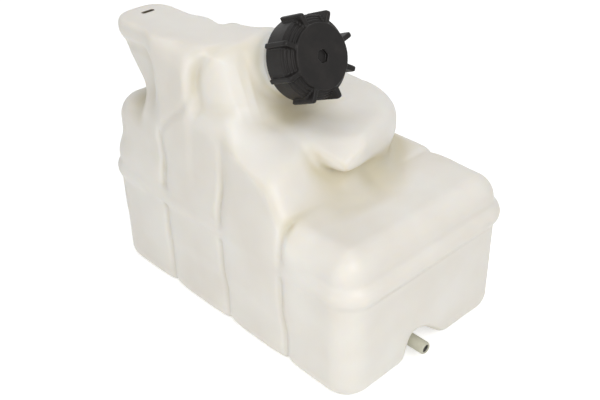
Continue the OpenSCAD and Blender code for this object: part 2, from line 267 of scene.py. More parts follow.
def eased(v: Array, low: float, high: float) -> Array:
    """0 below low, 1 above high, with soft ends between them."""
    t = ramp(v, low, high)
    return t * t * (3 - 2 * t)


def path_distance(p: Places, points: Sequence[Span]) -> Array:
    """Measures the distance, seen along Y, from a line through points.

    Args:
        p: Places to measure at.
        points: X and Z of the line's points.

    Returns:
        Distances, never negative.
    """
    best = np.full_like(p.x, 1e6)
    for (ax, az), (bx, bz) in zip(points[:-1], points[1:]):
        dx, dz = bx - ax, bz - az
        t = np.clip(((p.x - ax) * dx + (p.z - az) * dz) / (dx * dx + dz * dz), 0.0, 1.0)
        best = np.minimum(best, np.hypot(p.x - ax - t * dx, p.z - az - t * dz))
    return best


def rounded_path(points: Sequence[Span], rounds: int) -> list[Span]:
    """Cuts the corners of an open line, keeping its two ends.

    Args:
        points: The line's points.
        rounds: How many times each corner is cut.

    Returns:
        The points of the rounded line.
    """
    line = list(points)
    for _ in range(rounds):
        cut = [line[0]]
        for (ax, az), (bx, bz) in zip(line[:-1], line[1:]):
            cut.append((0.75 * ax + 0.25 * bx, 0.75 * az + 0.25 * bz))
            cut.append((0.25 * ax + 0.75 * bx, 0.25 * az + 0.75 * bz))
        cut.append(line[-1])
        line = cut
    return line


@dataclass(frozen=True)
class Cut:
    """A plane that takes away what lies on its normal's side, leaving a rounded edge."""

    normal: Point
    point: Point
    edge: float

    def above(self, p: Places) -> Array:
        """Signed height of places above the plane."""
        (a, b, c), (x, y, z) = self.normal, self.point
        return ((p.x - x) * a + (p.y - y) * b + (p.z - z) * c) / math.hypot(a, b, c)


@dataclass(frozen=True)
class Block:
    """An upright block with rounded corners and edges, cut by planes; some lean in above the bead."""

    xs: Span
    ys: Span
    zs: Span
    corner_r: float
    top_r: float
    bottom_r: float
    leans: bool = False
    cuts: tuple[Cut, ...] = ()

    def distance(self, p: Places) -> Array:
        """Measures the distance from the block.

        Args:
            p: Places to measure at.

        Returns:
            Distances, negative inside.
        """
        plan = plan_box(p, self.xs, self.ys, self.corner_r)
        if self.leans:
            plan = plan + TANK.lean * np.maximum(p.z - TANK.bead_z, 0)
        form = slab(plan, p.z, self.zs, self.top_r, self.bottom_r)
        for cut in self.cuts:
            form = soft_max(form, cut.above(p), cut.edge)
        return form


# The slope that takes the deck's near corner down
DROOP = ((0.365, -0.34, 0.866), (88, -18, 218))

# The slice under the tab
SHOULDER = Block((-176.5, -72), (-108.5, 93.5), (60, TANK.shoulder_top_z), 30, 24, 16, leans=True)

# The far side behind the ridge
FAR_BLOCK = Block((-120, 40), (-60, 92), (60, 206), 30, 22, 16, leans=True)

# The near side of the second slice
NEAR_BLOCK = Block((-87, 26), (-109.5, -30), (60, 236), 26, 22, 16, leans=True,
                   cuts=(Cut(NECK.direction, (-4, 0, 285), 10),))

# The near part of the deck, falling to the low block
NEAR_DECK = Block((2, 120), (-108.5, -16), (60, 221), 26, 9, 16, leans=True,
                  cuts=(Cut((0.64, -0.34, 0.69), (42, -102, 220), 14), Cut((0.90, 0, 0.44), (94, 0, 156), 12),
                        Cut(*DROOP, 6)))

# The wedge whose sloping face carries the neck
WEDGE = Block((-62, 60), (-98, 50), (60, TANK.ridge_top_z), 16, 9, 16,
              cuts=(Cut((0.72, -0.42, 0.25), (-6, -96, 262), 20), Cut(NECK.direction, (-6, 0, 293), 10),
                    Cut((0, 0.80, 0.60), (0, -27, 293), 10)))

# The narrow ridge along the near side
RIDGE = Block((-91, -32), (-109, -42), (150, TANK.ridge_top_z), 12, 10, 9,
              cuts=(Cut((0.35, -0.75, 0.75), (-32, -104, 282), 14),))

# The mounting tab and its sloping web
TAB_PLATE = Block((-158, -60), (-106, -45), (276, TANK.tab_top_z), 26, 7, 7)
TAB_WEB = Block((-150, -70), (-98, -56), (200, 290), 10, 5, 5,
                cuts=(Cut((-0.795, 0, -0.606), (-155, 0, 272), 6),))


class TankForm:
    """Distance from the outside of the tank, negative inside it.

    The tank is a blend of rounded blocks: a low base, four slices of different height across it, a ridge with
    the mounting tab, a deck with a pillow-shaped lip, grooves between the slices, and a bead all round.
    """

    FIRST_GROOVE = ((-14, 296), (-26, 282), (-34, 266), (-37, 243), (-50, 226), (-67, 214), (-80, 199),
                    (-84, 184), (-82, 160), (-85, -10))
    DECK_CORNER = Cut((0.80, 0.60, 0), (101, 26, 0), 32)

    def __init__(self) -> None:
        """Rounds the first groove's path."""
        self.first_groove = rounded_path(self.FIRST_GROOVE, 2)

    def __call__(self, p: Places) -> Array:
        """Blends the blocks, then cuts and adds the details.

        Args:
            p: Places to measure at.

        Returns:
            Distances, negative inside.
        """
        half_length, half_width = TANK.length / 2, TANK.width / 2
        plan = plan_box(p, (-half_length, half_length), (-half_width, half_width), TANK.plan_corner_r)
        lean = (TANK.lean + 0.15 * ramp(p.x, 80, 140)) * np.maximum(p.z - TANK.bead_z, 0)
        low = slab(plan + lean, p.z, (0, TANK.block_top_z), 20, TANK.base_edge_r)
        low = soft_min(low, FAR_BLOCK.distance(p), 14)
        low = soft_min(low, self.under_lip(p), 34 - 18 * eased(p.y, 10, 60))
        low = soft_min(low, NEAR_DECK.distance(p), 26)
        low = soft_min(low, self.lip(p), 8 + 16 * eased(p.y, -24, 24))
        high = soft_min(NEAR_BLOCK.distance(p), WEDGE.distance(p), 8)
        high = soft_min(high, RIDGE.distance(p), 6)
        tab = soft_min(TAB_PLATE.distance(p), TAB_WEB.distance(p), 16)
        high = soft_min(high, soft_min(SHOULDER.distance(p), tab, 34), 18)
        high = soft_max(high, p.z - TANK.tab_top_z, 3)
        form = soft_max(soft_min(low, high, 12), -self.scoop(p), 7)
        form = form + self.grooves(p) - self.pillows(p) - self.face_ribs(p)
        form = soft_min(form, np.hypot(plan + 6, p.z - TANK.bead_z) - 12, 4)
        along, out = axis_parts(p)
        form = soft_min(form, slab(out - NECK.boss_r, along, (NECK.boss_start, NECK.boss_end), 8, 8), 12)
        stub = np.maximum(out - NECK.radius, np.maximum(along - NECK.stub_end, NECK.stub_start - along))
        form = soft_min(form, stub, 7)
        return soft_max(soft_max(form, -self.recess(p), 8), -p.z, 1.5)

    def lip(self, p: Places) -> Array:
        """Measures the distance from the deck's pillow-shaped edge, with a prow at its near corner.

        Args:
            p: Places to measure at.

        Returns:
            Distances, negative inside.
        """
        prow = (p.x - 106) * 0.22 - (p.y + 42) * 0.975
        plan = soft_max(plan_box(p, (-60, 106), (-66, 92), 9), prow, 8)
        plan = soft_max(plan, self.DECK_CORNER.above(p), self.DECK_CORNER.edge) + 5 * eased(p.y, -24, 24)
        form = slab(plan, p.z - (2 - 0.07 * (p.y + 40)), (189, 218), 12, 8)
        return soft_max(form, Cut(*DROOP, 5).above(p), 5)

    def under_lip(self, p: Places) -> Array:
        """Measures the distance from the wall under the lip.

        Args:
            p: Places to measure at.

        Returns:
            Distances, negative inside.
        """
        plan = plan_box(p, (-60, 104), (-42, 91), 18)
        plan = soft_max(plan, self.DECK_CORNER.above(p), self.DECK_CORNER.edge)
        inset = 20 * eased(-p.y, -40, 34) + 5 * eased(p.y, -24, 24)
        return slab(plan + inset, p.z, (60, 206), 10, 10)

    @staticmethod
    def scoop(p: Places) -> Array:
        """The hollow between the near column and the sloping face."""
        return np.sqrt(((p.x - 16) / 49) ** 2 + ((p.y + 120) / 20) ** 2 + ((p.z - 254) / 46) ** 2) * 20 - 20

    @staticmethod
    def recess(p: Places) -> Array:
        """Measures the distance from the recess round the spigot, under the outlet end.

        Args:
            p: Places to measure at.

        Returns:
            Distances, negative in the recess.
        """
        left = 0.3 * p.z - (p.y - TANK.recess_left_y)
        right = 0.67 * (p.y - 8) + 0.74 * (p.z - 23)
        form = soft_max(soft_max(left, right, 8), p.z - TANK.recess_top_z, 10)
        return soft_max(form, TANK.recess_x - p.x, 10)

    def grooves(self, p: Places) -> Array:
        """Finds how far the grooves between the slices cut in.

        Args:
            p: Places to measure at.

        Returns:
            Depths, zero away from the grooves.
        """
        _, second_x, third_x = TANK.grooves_x
        depth, half_width = TANK.groove_depth, TANK.groove_half_width
        side = ramp(np.abs(p.y), 50, 100)
        first_offset = path_distance(p, self.first_groove) / TANK.first_groove_half_width
        first = TANK.first_groove_depth * np.exp(-(first_offset**2)) * ramp(-p.y, 50, 100)
        second = depth * np.exp(-(((p.x - second_x) / half_width) ** 2)) * ramp(-p.z, -206, -150)
        third_offset = p.x - third_x + 0.028 * (p.y + TANK.width / 2)
        third = depth * np.exp(-((third_offset / half_width) ** 2)) * ramp(-p.z, -168, -160)
        return first + side * (second + third)

    @staticmethod
    def pillows(p: Places) -> Array:
        """Finds how far each slice bulges out between its grooves.

        Args:
            p: Places to measure at.

        Returns:
            Heights, zero at the grooves.
        """
        edges = (-TANK.length / 2, *TANK.grooves_x, TANK.length / 2)
        pillow = np.zeros_like(p.x)
        for a, b in zip(edges[:-1], edges[1:]):
            u = (p.x - (a + b) / 2) / ((b - a) / 2)
            pillow = pillow + np.where((p.x >= a) & (p.x < b), 1 - u**4, 0)
        return TANK.slice_bulge * pillow * ramp(np.abs(p.y), 50, 100) * ramp(-p.z, -230, -200)

    @staticmethod
    def face_ribs(p: Places) -> Array:
        """Faint upright ribs on the sloping face beside the neck."""
        tall = ramp(p.z, 228, 240) * ramp(-p.z, -280, -262) * ramp(p.x, -14, -4)
        return sum(0.35 * np.exp(-(((p.y - at) / 2.0) ** 2)) * tall for at in (-84.0, -75.0, -66.0))


def axis_parts(p: Places) -> tuple[Array, Array]:
    """Splits places into parts along and across the neck's axis.

    Args:
        p: Places to measure at.

    Returns:
        Distance along the axis from the neck's point, and distance out from the axis.
    """
    dx, dy, dz = p.x - NECK.point[0], p.y - NECK.point[1], p.z - NECK.point[2]
    ux, _, uz = NECK.direction
    return dx * ux + dz * uz, np.hypot(dy, dz * ux - dx * uz)


class CapForm:
    """Distance from the cap's shell, negative inside it; places are in the neck axis's own frame."""

    def __call__(self, p: Places) -> Array:
        """Joins the shell's outside, its lugs, its bore and its dish.

        Args:
            p: Places to measure at, whose Z is the neck's axis.

        Returns:
            Distances, negative inside.
        """
        out = np.hypot(p.x, p.y)
        form = soft_min(self.outside(out, p.z), self.lugs(p, out), 1.6)
        form = soft_max(form, -self.inside(out, p.z), 0.4)
        return soft_max(form, -self.dish(p), 0.6)

    @staticmethod
    def dish(p: Places) -> Array:
        """The six-sided recess in the middle of the front."""
        sides = [p.x * math.cos(a) + p.y * math.sin(a) for a in (math.pi * i / 3 for i in range(6))]
        return np.maximum(np.maximum.reduce(sides) - CAP.dish_r, CAP.front - CAP.dish_depth - p.z)

    @staticmethod
    def outside(out: Array, z: Array) -> Array:
        """Joins the skirt and the stepped rings up to the front.

        Args:
            out: Distances out from the axis.
            z: Heights along it.

        Returns:
            Distances, negative inside.
        """
        form = slab(out - CAP.skirt_r, z, (CAP.skirt_start, CAP.skirt_end), 1.1, 1.1)
        tops = [CAP.skirt_end + (i + 1) * CAP.step_length for i in range(len(CAP.step_r) - 1)] + [CAP.front]
        for r, top in zip(CAP.step_r, tops):
            form = soft_min(form, slab(out - r, z, (CAP.skirt_start + 1, top), 0.8, 0.8), 0.7)
        return form

    @staticmethod
    def lugs(p: Places, out: Array) -> Array:
        """Measures the distance from the lugs that run along the skirt and close onto the front ring.

        Args:
            p: Places to measure at.
            out: Their distances out from the axis.

        Returns:
            Distances, negative inside.
        """
        step = 2 * math.pi / CAP.lug_count
        angle = np.arctan2(p.y, p.x) - math.radians(CAP.lug_phase_deg)
        near = angle - step * np.round(angle / step)
        r = out * np.cos(near)
        form = np.maximum(r - CAP.lug_r, np.maximum(CAP.lug_start - p.z, p.z - CAP.lug_end))
        form = soft_max(form, 0.75 * (r - CAP.lug_r) + 0.66 * (p.z - CAP.lug_end + 1.6), 2.0)
        form = soft_max(form, 27.0 - r, 1.0)
        return soft_max(form, np.abs(out * np.sin(near)) - CAP.lug_width / 2, 1.8)

    @staticmethod
    def inside(out: Array, z: Array) -> Array:
        """Joins the bore over the neck, the collar and the chamber for the insert's clip.

        Args:
            out: Distances out from the axis.
            z: Heights along it.

        Returns:
            Distances, negative in the hollow.
        """
        rooms = ((CAP.bore_r, CAP.skirt_start - 5, CAP.flange_top),
                 (CAP.collar_r, CAP.flange_top - 1, CAP.collar_top + 0.5),
                 (CAP.chamber_r, CAP.collar_top, CAP.chamber_top))
        return np.minimum.reduce([np.maximum(out - r, np.maximum(z - top, bottom - z))
                                  for r, bottom, top in rooms])


# Meshing


class FormMesher:
    """Turns a distance function into a smooth mesh with a surface net."""

    EDGES = (((0, 0, 0), (1, 0, 0)), ((0, 1, 0), (1, 1, 0)), ((0, 0, 1), (1, 0, 1)), ((0, 1, 1), (1, 1, 1)),
             ((0, 0, 0), (0, 1, 0)), ((1, 0, 0), (1, 1, 0)), ((0, 0, 1), (0, 1, 1)), ((1, 0, 1), (1, 1, 1)),
             ((0, 0, 0), (0, 0, 1)), ((1, 0, 0), (1, 0, 1)), ((0, 1, 0), (0, 1, 1)), ((1, 1, 0), (1, 1, 1)))
    FAR = 50.0

    def __init__(self, form: Form, low: Point, high: Point, step: float, coarse: int = 4) -> None:
        """Sets up the grid.

        Args:
            form: Distance function in millimetres.
            low: Lowest corner of the space to mesh.
            high: Highest corner of it.
            step: Grid spacing.
            coarse: How many fine steps make one step of the first, coarse look.
        """
        self.form = form
        self.step = step
        self.coarse = coarse
        self.low = np.array(low, float)
        self.cells = np.ceil((np.array(high) - self.low) / (step * coarse)).astype(int)

    def measure(self, p: Array) -> Array:
        """Distances at rows of coordinates."""
        return self.form(Places(*p.T))

    def sample(self) -> Array:
        """Measures the form at the fine grid, exactly near the surface and only by its side away from it.

        Returns:
            Distances at the grid's points.
        """
        wide = self.step * self.coarse
        centres = np.argwhere(np.ones(self.cells, bool)) + 0.5
        rough = self.measure(self.low + centres * wide).reshape(self.cells)
        near = self.spread(np.abs(rough) < wide * 1.5 + 3.0)
        field = np.full(self.cells * self.coarse + 1, self.FAR)
        field[:-1, :-1, :-1] = self.spread(np.where(rough < 0, -self.FAR, self.FAR))
        mask = np.zeros(field.shape, bool)
        for shift in np.ndindex(2, 2, 2):
            mask[tuple(slice(s, s + n) for s, n in zip(shift, near.shape))] |= near
        field[mask] = self.measure(self.low + np.argwhere(mask) * self.step)
        return field

    def spread(self, values: Array) -> Array:
        """Repeats coarse cells over the fine grid."""
        for axis in range(3):
            values = np.repeat(values, self.coarse, axis)
        return values

    def net(self) -> tuple[Array, Array]:
        """Finds the surface.

        Returns:
            Vertices in millimetres, and the four vertices of each face.
        """
        field = self.sample()
        inside = field < 0
        count = sum(inside[tuple(slice(s, s - 1 or None) for s in shift)].astype(np.int8)
                    for shift in np.ndindex(2, 2, 2))
        cells = np.argwhere((count > 0) & (count < 8))
        total = np.zeros((len(cells), 3))
        hits = np.zeros(len(cells))
        for a, b in np.array(self.EDGES):
            at_a, at_b = field[tuple((cells + a).T)], field[tuple((cells + b).T)]
            cross = (at_a < 0) != (at_b < 0)
            t = np.where(cross, at_a / np.where(cross, at_a - at_b, 1.0), 0.0)[:, None]
            total += np.where(cross[:, None], a + t * (b - a), 0.0)
            hits += cross
        vertices = self.low + (cells + total / hits[:, None]) * self.step
        number = np.full(count.shape, -1, np.int64)
        number[tuple(cells.T)] = np.arange(len(cells))
        faces = [self.faces_across(axis, inside, number) for axis in range(3)]
        return self.settle(vertices), np.concatenate(faces)

    @staticmethod
    def faces_across(axis: int, inside: Array, number: Array) -> Array:
        """Makes the faces round the grid's edges, along one axis, that cross the surface.

        Args:
            axis: The axis.
            inside: Which grid points are inside.
            number: The vertex of each grid cell.

        Returns:
            The four vertices of each face.
        """
        start = [slice(1, -1)] * 3
        end = [slice(1, -1)] * 3
        start[axis], end[axis] = slice(0, -1), slice(1, None)
        unit = np.eye(3, dtype=int)
        found = np.argwhere(inside[tuple(start)] != inside[tuple(end)]) + 1 - unit[axis]
        step_u, step_v = unit[(axis + 1) % 3], unit[(axis + 2) % 3]
        quad = np.stack([number[tuple((found - a * step_u - b * step_v).T)]
                         for a, b in ((1, 1), (0, 1), (0, 0), (1, 0))], 1)
        return np.where(inside[tuple(found.T)][:, None], quad, quad[:, ::-1])

    def gradient(self, p: Array, reach: float = 0.25) -> Array:
        """Finds the direction in which the distance grows.

        Args:
            p: Rows of coordinates.
            reach: How far to either side it is measured.

        Returns:
            A row of three slopes for each.
        """
        return np.stack([(self.measure(p + side) - self.measure(p - side)) / (2 * reach)
                         for side in np.eye(3) * reach], 1)

    def settle(self, p: Array, rounds: int = 2) -> Array:
        """Moves vertices onto the surface.

        Args:
            p: Rows of coordinates.
            rounds: How many times they are moved.

        Returns:
            Their new coordinates.
        """
        for _ in range(rounds):
            slope = self.gradient(p)
            move = (self.measure(p) / np.maximum((slope**2).sum(1), 0.2))[:, None] * slope
            reach = np.linalg.norm(move, axis=1, keepdims=True)
            p = p - move * np.minimum(1.0, 0.6 * self.step / np.maximum(reach, 1e-9))
        return p

    def build(self, name: str) -> bpy.types.Mesh:
        """Makes the Blender mesh, in metres, with a layer that says how hidden each vertex is.

        Args:
            name: Name of the mesh.

        Returns:
            The new mesh.
        """
        vertices, faces = self.net()
        mesh = bpy.data.meshes.new(name)
        mesh.from_pydata((vertices * MM).tolist(), [], faces.tolist())
        mesh.validate()
        mesh.shade_smooth()
        # How hidden each vertex is; the tank's plastic turns it into painted shade in the hollows
        layer = mesh.attributes.new("cavity", "FLOAT", "POINT")
        layer.data.foreach_set("value", self.hidden(vertices).astype(np.float32))
        LOG.info("%s: %d vertices, %d faces", name, len(mesh.vertices), len(mesh.polygons))
        return mesh

    def hidden(self, p: Array) -> Array:
        """Finds how deep in a hollow each vertex lies, from the distances met along its normal.

        Args:
            p: Rows of coordinates.

        Returns:
            0 on open surfaces, up to 1 in hollows.
        """
        normals = self.gradient(p)
        normals /= np.maximum(np.linalg.norm(normals, axis=1, keepdims=True), 1e-9)
        total = sum(np.clip(1.0 - self.measure(p + normals * reach) / reach, 0.0, 1.0)
                    for reach in (4.0, 9.0, 18.0, 32.0))
        return np.clip(total / 2.4, 0.0, 1.0)


def link_object(name: str, data: bpy.types.ID) -> bpy.types.Object:
    """Adds an object at the origin."""
    obj = bpy.data.objects.new(name, data)
    bpy.context.collection.objects.link(obj)
    return obj


def new_piece(mesh: bpy.types.Mesh, body: str, material: bpy.types.Material) -> bpy.types.Object:
    """Adds a piece named after its mesh that rides on a body.

    Args:
        mesh: The mesh, in the row's frame.
        body: The body it moves with.
        material: Its material.

    Returns:
        The new object.
    """
    obj = link_object(mesh.name, mesh)
    mesh.materials.append(material)
    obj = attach(obj, body) or obj
    return obj


def evaluated_mesh(obj: bpy.types.Object) -> bpy.types.Mesh:
    """A new mesh of an object as its modifiers leave it."""
    return bpy.data.meshes.new_from_object(obj.evaluated_get(bpy.context.evaluated_depsgraph_get()))


def lathe(name: str, profile: Sequence[Span], place: Matrix, steps: int) -> bpy.types.Mesh:
    """Turns a closed profile about Z and places it.

    Args:
        name: Name of the mesh.
        profile: Radius and height of each corner, in millimetres, going round the outline.
        place: Matrix in metres from the turned piece's frame to the row's.
        steps: Faces round the axis.

    Returns:
        The mesh, smooth with its edges slightly rounded.
    """
    bm = bmesh.new()
    rings = []
    for i in range(steps):
        a = 2 * math.pi * i / steps
        rings.append([bm.verts.new((r * math.cos(a) * MM, r * math.sin(a) * MM, h * MM)) for r, h in profile])
    for here, there in zip(rings, rings[1:] + rings[:1]):
        for j, corner in enumerate(here):
            bm.faces.new((here[j - 1], there[j - 1], there[j], corner))
    bmesh.ops.recalc_face_normals(bm, faces=bm.faces)
    sharp = [e for e in bm.edges if e.calc_face_angle(0.0) > math.radians(35)]
    bmesh.ops.bevel(bm, geom=sharp, offset=0.35 * MM, segments=2, affect="EDGES", clamp_overlap=True)
    bm.transform(place)
    mesh = bpy.data.meshes.new(name)
    bm.to_mesh(mesh)
    bm.free()
    mesh.shade_smooth()
    return mesh


# Node trees


class Graph:
    """A node tree, with one call that adds a node with its settings and links."""

    def __init__(self, tree: bpy.types.NodeTree) -> None:
        """Empties the tree."""
        self.tree = tree
        tree.nodes.clear()

    def feed(self, node: bpy.types.Node, **inputs: object) -> None:
        """Links or sets a node's inputs.

        Args:
            node: The node.
            inputs: For each input, a node or socket to link or a value to set. An input goes by its name with
                underscores for spaces, or by an underscore and its number.
        """
        for label, value in inputs.items():
            number = label[1:]
            socket = node.inputs[int(number) if number.isdigit() else label.replace("_", " ")]
            source = value.outputs[0] if isinstance(value, bpy.types.Node) else value
            if isinstance(source, bpy.types.NodeSocket):
                self.tree.links.new(source, socket)
            else:
                socket.default_value = source

    def add(self, kind: str, settings: dict[str, object] | None = None, **inputs: object) -> bpy.types.Node:
        """Adds a node.

        Args:
            kind: Its type.
            settings: Its settings by name.
            inputs: Its inputs, as feed takes them.

        Returns:
            The node.
        """
        node = self.tree.nodes.new(kind)
        for name, value in (settings or {}).items():
            setattr(node, name, value)
        self.feed(node, **inputs)
        return node


@dataclass(frozen=True)
class Coil:
    """A round wire wound on the neck's axis by Geometry Nodes, a thread ridge or a spring, in millimetres."""

    name: str
    mean_r: float
    wire_r: float
    start: float
    end: float
    turns: float
    closing: float = 0.75
    taper: float = 0.001

    @property
    def sizes(self) -> dict[str, float]:
        """The tree's inputs by name, lengths in metres."""
        return {"Coil radius": self.mean_r * MM, "Wire radius": self.wire_r * MM, "Turns": self.turns,
                "Rise": (self.end - self.start - 2 * self.wire_r) * MM, "End closing": self.closing,
                "Taper share": self.taper}

    def tree(self, material: bpy.types.Material) -> bpy.types.NodeTree:
        """Builds the node tree.

        Args:
            material: What Set Material gives the wire.

        Returns:
            A geometry tree with one float input for each size.
        """
        graph = Graph(bpy.data.node_groups.new(self.name + "_coil", "GeometryNodeTree"))
        interface = graph.tree.interface
        for label in self.sizes:
            interface.new_socket(label, in_out="INPUT", socket_type="NodeSocketFloat")
        interface.new_socket("Geometry", in_out="OUTPUT", socket_type="NodeSocketGeometry")
        given = graph.add("NodeGroupInput").outputs
        share = graph.add("GeometryNodeSplineParameter").outputs["Factor"]
        maths = "ShaderNodeMath"
        turn = graph.add(maths, {"operation": "MULTIPLY"}, _0=share, _1=2 * math.pi)
        wave = graph.add(maths, {"operation": "SINE"}, _0=turn)
        sway = graph.add(maths, {"operation": "DIVIDE"}, _0=wave, _1=2 * math.pi)
        closed = graph.add(maths, {"operation": "MULTIPLY"}, _0=sway, _1=given["End closing"])
        height = graph.add(maths, {"operation": "SUBTRACT"}, _0=share, _1=closed)
        rise = graph.add(maths, {"operation": "MULTIPLY"}, _0=height, _1=given["Rise"])
        ring = graph.add("GeometryNodeCurveSpiral", Resolution=48, Rotations=given["Turns"],
                         Start_Radius=given["Coil radius"], End_Radius=given["Coil radius"], Height=0.0)
        lift = graph.add("ShaderNodeCombineXYZ", Z=rise)
        path = graph.add("GeometryNodeSetPosition", Geometry=ring, Offset=lift)
        wire = graph.add("GeometryNodeCurvePrimitiveCircle", Resolution=12, Radius=given["Wire radius"])
        rest = graph.add(maths, {"operation": "SUBTRACT"}, _0=1.0, _1=share)
        near_end = graph.add(maths, {"operation": "MINIMUM"}, _0=share, _1=rest)
        grow = graph.add("ShaderNodeMapRange", Value=near_end, From_Max=given["Taper share"], To_Min=0.05)
        swept = graph.add("GeometryNodeCurveToMesh", Curve=path, Profile_Curve=wire, Scale=grow,
                          Fill_Caps=True)
        smooth = graph.add("GeometryNodeSetShadeSmooth", Geometry=swept)
        real = graph.add("GeometryNodeRealizeInstances", Geometry=smooth)
        painted = graph.add("GeometryNodeSetMaterial", Geometry=real, Material=material)
        graph.add("NodeGroupOutput", _0=painted)
        return graph.tree

    def build(self, material: bpy.types.Material) -> bpy.types.Mesh:
        """Runs the tree and places its result on the neck's axis.

        Args:
            material: The wire's material.

        Returns:
            A plain mesh in the row's frame, without material slots.
        """
        holder = link_object(self.name + "_holder", bpy.data.meshes.new(self.name + "_holder"))
        modifier = holder.modifiers.new("coil", "NODES")
        modifier.node_group = self.tree(material)
        for item in modifier.node_group.interface.items_tree:
            if item.in_out == "INPUT":
                modifier[item.identifier] = self.sizes[item.name]
        mesh = evaluated_mesh(holder)
        bpy.data.objects.remove(holder)
        mesh.name = self.name
        mesh.materials.clear()
        mesh.transform(NECK.matrix(self.start + self.wire_r))
        return mesh


# Materials


def srgb(code: str) -> tuple[float, float, float, float]:
    """Turns a hex colour, as seen on a screen, into Blender's linear colour."""
    parts = [int(code[i : i + 2], 16) / 255 for i in (0, 2, 4)]
    r, g, b = (c / 12.92 if c <= 0.04045 else ((c + 0.055) / 1.055) ** 2.4 for c in parts)
    return (r, g, b, 1.0)


class Surface(Graph):
    """A material's node tree round a principled shader, with calls for what the finishes lay on it."""

    def __init__(self, name: str, **inputs: object) -> None:
        """Makes the material.

        Args:
            name: Its name.
            inputs: Inputs of the principled shader, as feed takes them.
        """
        self.material = bpy.data.materials.new(name)
        self.material.use_nodes = True
        super().__init__(self.material.node_tree)
        self.shader = self.add("ShaderNodeBsdfPrincipled", **inputs)
        self.output = self.add("ShaderNodeOutputMaterial", Surface=self.shader)
        self.place = self.add("ShaderNodeTexCoord").outputs["Object"]

    def pattern(self, size_mm: float, detail: float = 3.0, roughness: float = 0.55,
                stretch: Point = (1.0, 1.0, 1.0)) -> bpy.types.Node:
        """Adds a noise pattern.

        Args:
            size_mm: Rough size of its blotches.
            detail: Octaves of finer noise.
            roughness: Strength of the finer noise.
            stretch: How many times longer the blotches are along each axis.

        Returns:
            The pattern's node, about 0.5 in the middle.
        """
        scale = [1.0 / (size_mm * MM * s) for s in stretch]
        place = self.add("ShaderNodeMapping", Vector=self.place, Scale=scale)
        return self.add("ShaderNodeTexNoise", Vector=place, Scale=1.0, Detail=detail, Roughness=roughness)

    def paint(self, colour: str, *layers: tuple[bpy.types.Node, float, float, str]) -> None:
        """Sets the colour and lays others over it.

        Args:
            colour: The lowest colour.
            layers: For each colour over it, the pattern that it follows, the pattern's values where it starts
                and where it is full, and the colour itself.
        """
        under = srgb(colour)
        for pattern, start, full, over in layers:
            share = self.add("ShaderNodeMapRange", Value=pattern, From_Min=start, From_Max=full)
            mix = self.add("ShaderNodeMix", {"data_type": "RGBA"}, _0=share, _6=under, _7=srgb(over))
            under = mix.outputs[2]
        self.feed(self.shader, Base_Color=under)

    def vary(self, pattern: bpy.types.Node, low: float, high: float, shine: Span) -> None:
        """Sets the roughness from a pattern.

        Args:
            pattern: The pattern.
            low: Its value for the first roughness.
            high: Its value for the second.
            shine: The two roughnesses.
        """
        roughness = self.add("ShaderNodeMapRange", Value=pattern, From_Min=low, From_Max=high, To_Min=shine[0],
                             To_Max=shine[1])
        self.feed(self.shader, Roughness=roughness)

    def relief(self, *heights: tuple[bpy.types.Node, float]) -> None:
        """Adds bumps.

        Args:
            heights: A pattern and its height in millimetres for each.
        """
        below = {}
        for pattern, tall_mm in heights:
            bump = self.add("ShaderNodeBump", Strength=1.0, Distance=tall_mm * MM, Height=pattern, **below)
            below = {"Normal": bump}
        self.feed(self.shader, **below)


@dataclass(frozen=True)
class TankPlastic:
    """Blow-moulded natural polyethylene: milky, a little translucent, with tan shade painted into its hollows.
    """

    name: str = "natural_polyethylene"
    skin: str = "E4DFD6"
    # Painted shade: the tan that the hollows are tinted with, in place of their shadow
    hollow_shade_tan: str = "D3CBB4"
    cloud: str = "EAE7E0"
    # Painted shadow on the wall of the tab's slot
    slot: str = "6A6358"
    roughness: float = 0.38
    glow_depth_mm: float = 6.0

    def build(self) -> bpy.types.Material:
        """Layers clouds, painted tan shade in the hollows and painted shadow on the slot's wall, with fine
        scuffs.

        Returns:
            The material.
        """
        s = Surface(self.name, IOR=1.46, Subsurface_Weight=0.6, Subsurface_Radius=(1.0, 0.85, 0.6),
                    Subsurface_Scale=self.glow_depth_mm * MM)
        # Painted shade: how hidden each point is tints the hollows tan
        hollow = s.add("ShaderNodeAttribute", {"attribute_name": "cavity"}).outputs["Fac"]
        # Painted shadow: the slot's wall is darkened
        wall = s.add("ShaderNodeAttribute", {"attribute_name": "slot_painted_shadow"}).outputs["Fac"]
        s.paint(self.skin, (s.pattern(70.0, 2.0), 0.35, 0.7, self.cloud), (hollow, 0.12, 0.75, self.hollow_shade_tan),
                (wall, 0.0, 1.0, self.slot))
        s.vary(s.pattern(9.0, 5.0, 0.7), 0.4, 0.75, (self.roughness - 0.04, self.roughness + 0.08))
        s.relief((s.pattern(26.0, 2.0), 0.35), (s.pattern(3.2, 2.0), 0.03))
        return s.material


@dataclass(frozen=True)
class MouldedPlastic:
    """Moulded plastic with a fine satin grain."""

    name: str
    colour: str
    worn: str
    roughness: float
    # The real grain is too fine to show, so it is drawn coarser
    grain_mm: float = 0.9
    grain_height_mm: float = 0.02
    cloud_mm: float = 16.0
    gloss: float = 0.5

    def build(self) -> bpy.types.Material:
        """Layers worn clouds, a grain and slow waves.

        Returns:
            The material.
        """
        s = Surface(self.name, IOR=1.5, Specular_IOR_Level=self.gloss)
        s.paint(self.colour, (s.pattern(self.cloud_mm, 4.0, 0.6), 0.42, 0.78, self.worn))
        s.vary(s.pattern(5.0, 4.0), 0.3, 0.75, (self.roughness - 0.06, self.roughness + 0.1))
        s.relief((s.pattern(self.grain_mm), self.grain_height_mm), (s.pattern(11.0, 2.0), 0.06))
        return s.material


